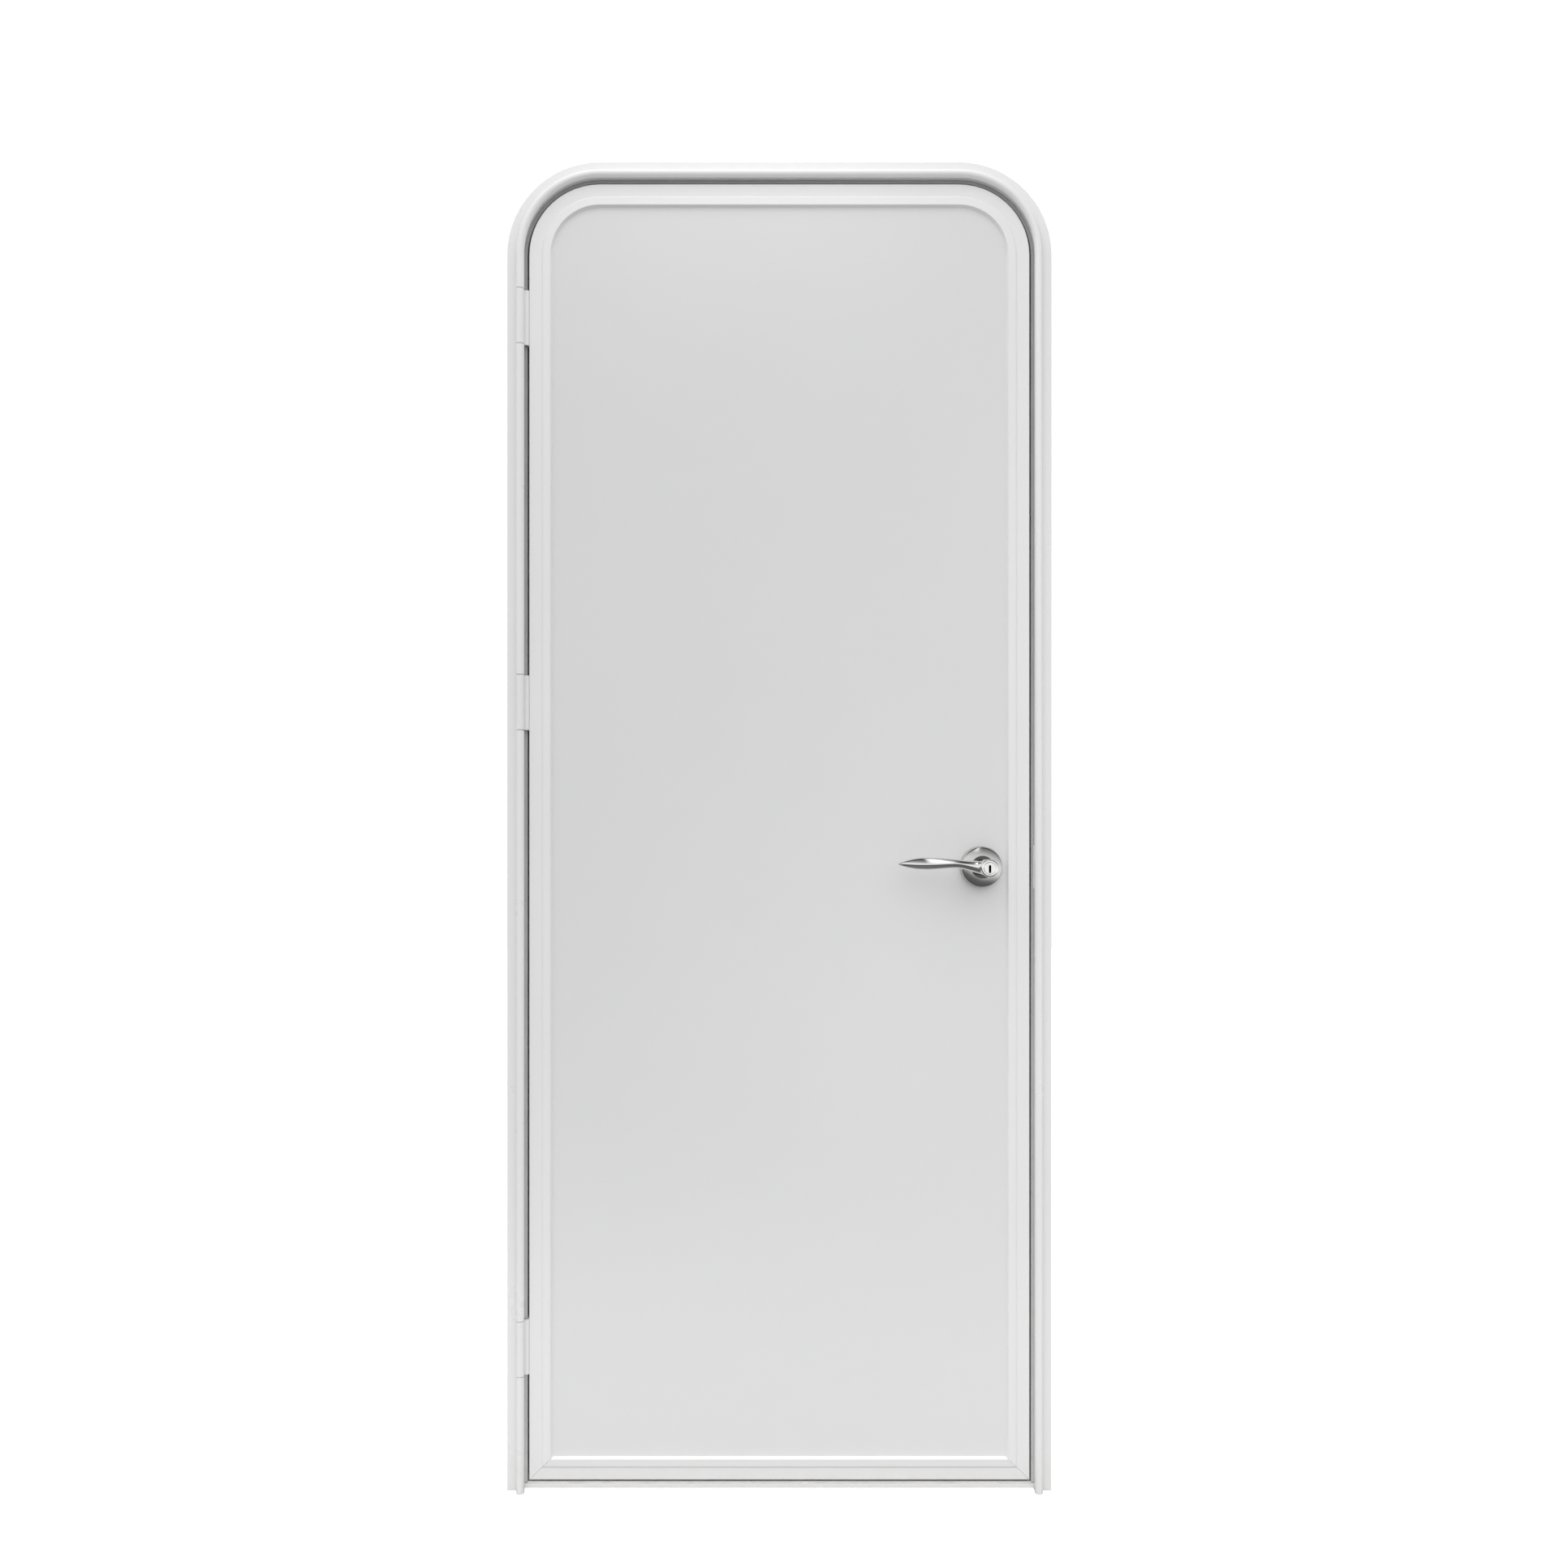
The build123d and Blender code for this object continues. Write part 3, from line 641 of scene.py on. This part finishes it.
# Studio: a pale floor, a soft key light, soft panels, and a sky that metal sees as a room
studio = dict(floorDrop=0.0005, floorSize=14.0, floorColour=(0.36, 0.36, 0.357), floorRough=0.9,
              floorGlow=0.92, backdrop=1.05, skyLow=0.145, skyHigh=1.04, keyPlace=(0, 0, 4),
              keyTilt=30.0, keyTurn=-12.0, keySoft=80.0, keyPower=1.26)
lamps = {  # soft panels, from a place towards a point
    "foot": dict(place=(-0.05, -0.5, 0.08), towards=(-0.05, 0.0, 0.03),
                 wide=2.0, tall=0.14, power=0.95),
    "brow": dict(place=(-0.05, -0.28, 1.86), towards=(-0.05, 0.0, 1.79),
                 wide=0.6, tall=0.06, power=0.12),
    "head": dict(place=(-0.08, -0.12, 2.2), towards=(-0.08, 0.0, 1.8),
                 wide=0.5, tall=0.5, power=0.65),
    "side": dict(place=(0.75, -0.8, 1.35), towards=(0.4, 0.0, 1.25),
                 wide=0.7, tall=0.7, power=0.9),
    "lock": dict(place=(0.2, -0.35, 0.62), towards=(0.26, 0.0, 0.83),
                 wide=0.25, tall=0.25, power=0.07),
    "back": dict(place=(0.3, 2.2, 1.6), towards=(0.0, 0.0, 0.95),
                 wide=1.6, tall=1.6, power=14.0),
}
roomTones = (  # what polished metal sees, from straight down to straight up
    (0.0, 0.22), (0.2, 0.1), (0.36, 0.15), (0.43, 0.6), (0.48, 1.0), (0.6, 1.0), (0.68, 0.6),
    (0.76, 0.26), (0.82, 0.07), (0.95, 0.06), (1.0, 0.25))
roomLean = (0.3, 0.0, 0.954)  # its up direction
softBox = dict(middle=0.05, halfWide=0.09, low=0.38, high=0.96, edge=0.05,
               tone=1.5)  # a tall bright box that metal sees
skyLean = (-0.22, 0.0, 0.975)  # where the soft light is strongest


def makeFloor():
    bpy.ops.object.select_all(action="DESELECT")
    floorZ = cadBox[0][2] - studio["floorDrop"]
    bpy.ops.mesh.primitive_plane_add(size=studio["floorSize"], location=(0, 0, floorZ))
    floor = bpy.context.object
    floor.name = "floor"
    bpy.ops.object.transform_apply(location=True)
    material = bpy.data.materials.new("floorPale")
    material.use_nodes = True
    tree = material.node_tree
    shader = tree.nodes["Principled BSDF"]
    shader.inputs["Base Color"].default_value = tinted(studio["floorColour"])
    shader.inputs["Roughness"].default_value = studio["floorRough"]
    shader.inputs["Emission Color"].default_value = white
    seen = addNode(tree, "ShaderNodeLightPath").outputs["Is Camera Ray"]
    glow = ranged(tree, seen, 0.0, 1.0, 0.0, studio["floorGlow"])
    tree.links.new(glow, shader.inputs["Emission Strength"])
    floor.data.materials.append(material)
    floor.visible_glossy = False


def hangLight(name, lamp, place, turn):
    light = bpy.data.objects.new(name, lamp)
    light.location = place
    light.rotation_euler = turn
    light.visible_glossy = False
    light.visible_camera = False
    bpy.context.scene.collection.objects.link(light)


def makeLights():
    key = bpy.data.lights.new("key", "SUN")
    key.energy = studio["keyPower"]
    key.angle = math.radians(studio["keySoft"])
    turn = (math.radians(studio["keyTilt"]), 0, math.radians(studio["keyTurn"]))
    hangLight("key", key, studio["keyPlace"], turn)
    for name, look in lamps.items():
        panel = bpy.data.lights.new(name, "AREA")
        panel.shape = "RECTANGLE"
        panel.size = look["wide"]
        panel.size_y = look["tall"]
        panel.energy = look["power"]
        aim = Vector(look["towards"]) - Vector(look["place"])
        hangLight(name, panel, look["place"], aim.to_track_quat("-Z", "Y").to_euler())


def alongSky(tree, lean):  # how far a direction points along a lean, from 0 to 1
    look = addNode(tree, "ShaderNodeTexCoord").outputs["Generated"]
    height = addNode(tree, "ShaderNodeVectorMath", operation="DOT_PRODUCT")
    tree.links.new(look, height.inputs[0])
    height.inputs[1].default_value = lean
    return ranged(tree, height.outputs["Value"], -1.0, 1.0, 0.0, 1.0)


def inSoftBox(tree):  # 1 where a direction meets the bright box, 0 elsewhere
    edge, low, high, wide = (softBox[part] for part in ("edge", "low", "high", "halfWide"))
    look = addNode(tree, "ShaderNodeTexCoord").outputs["Generated"]
    way = addNode(tree, "ShaderNodeSeparateXYZ", {"Vector": look}).outputs
    aside = reckon(tree, "ABSOLUTE", reckon(tree, "SUBTRACT", way["X"], softBox["middle"]))
    across = ranged(tree, aside, wide, wide - edge, 0.0, 1.0)
    over = ranged(tree, way["Z"], low, low + edge, 0.0, 1.0)
    under = ranged(tree, way["Z"], high, high - edge, 0.0, 1.0)
    return reckon(tree, "MULTIPLY", across, reckon(tree, "MULTIPLY", over, under))


def makeWorld():
    world = bpy.data.worlds.new("studio")
    world.use_nodes = True
    tree = world.node_tree
    path = addNode(tree, "ShaderNodeLightPath").outputs
    sky = ranged(tree, alongSky(tree, skyLean), 0.0, 1.0, studio["skyLow"], studio["skyHigh"])
    room = addNode(tree, "ShaderNodeValToRGB", {"Fac": alongSky(tree, roomLean)})
    ramp = room.color_ramp
    while len(ramp.elements) < len(roomTones):
        ramp.elements.new(1.0)
    for element, (spot, tone) in zip(ramp.elements, roomTones):
        element.position = spot
        element.color = (tone, tone, tone, 1)
    box = tinted(white[:3], softBox["tone"])
    mirrored = mixBy(tree, inSoftBox(tree), room.outputs["Color"], box)
    unseen = mixBy(tree, path["Is Glossy Ray"], sky, mirrored)
    shown = mixBy(tree, path["Is Camera Ray"], unseen, tinted(white[:3], studio["backdrop"]))
    tree.links.new(shown, tree.nodes["Background"].inputs["Color"])
    bpy.context.scene.world = world


makeFloor()
makeWorld()
makeLights()
bpy.context.scene.view_settings.view_transform = "Standard"
print("studio lit")

# Camera: the image is square and spans frameWidth at the wall flange's face
view = dict(distance=1.55, faceY=-0.002, eyeX=-0.056, eyeZ=0.909, frameWidth=2.16,
            middleX=0.0064, middleZ=0.9692, sensor=36.0)


def makeCamera():
    camera = bpy.data.cameras.new("camera")
    camera.sensor_width = view["sensor"]
    camera.lens = view["sensor"] * view["distance"] / view["frameWidth"]
    camera.shift_x = (view["middleX"] - view["eyeX"]) / view["frameWidth"]
    camera.shift_y = (view["middleZ"] - view["eyeZ"]) / view["frameWidth"]
    eye = bpy.data.objects.new("camera", camera)
    eye.location = (view["eyeX"], view["faceY"] - view["distance"], view["eyeZ"])
    eye.rotation_euler = (quarter, 0, 0)
    bpy.context.scene.collection.objects.link(eye)
    bpy.context.scene.camera = eye


makeCamera()
print("camera set")
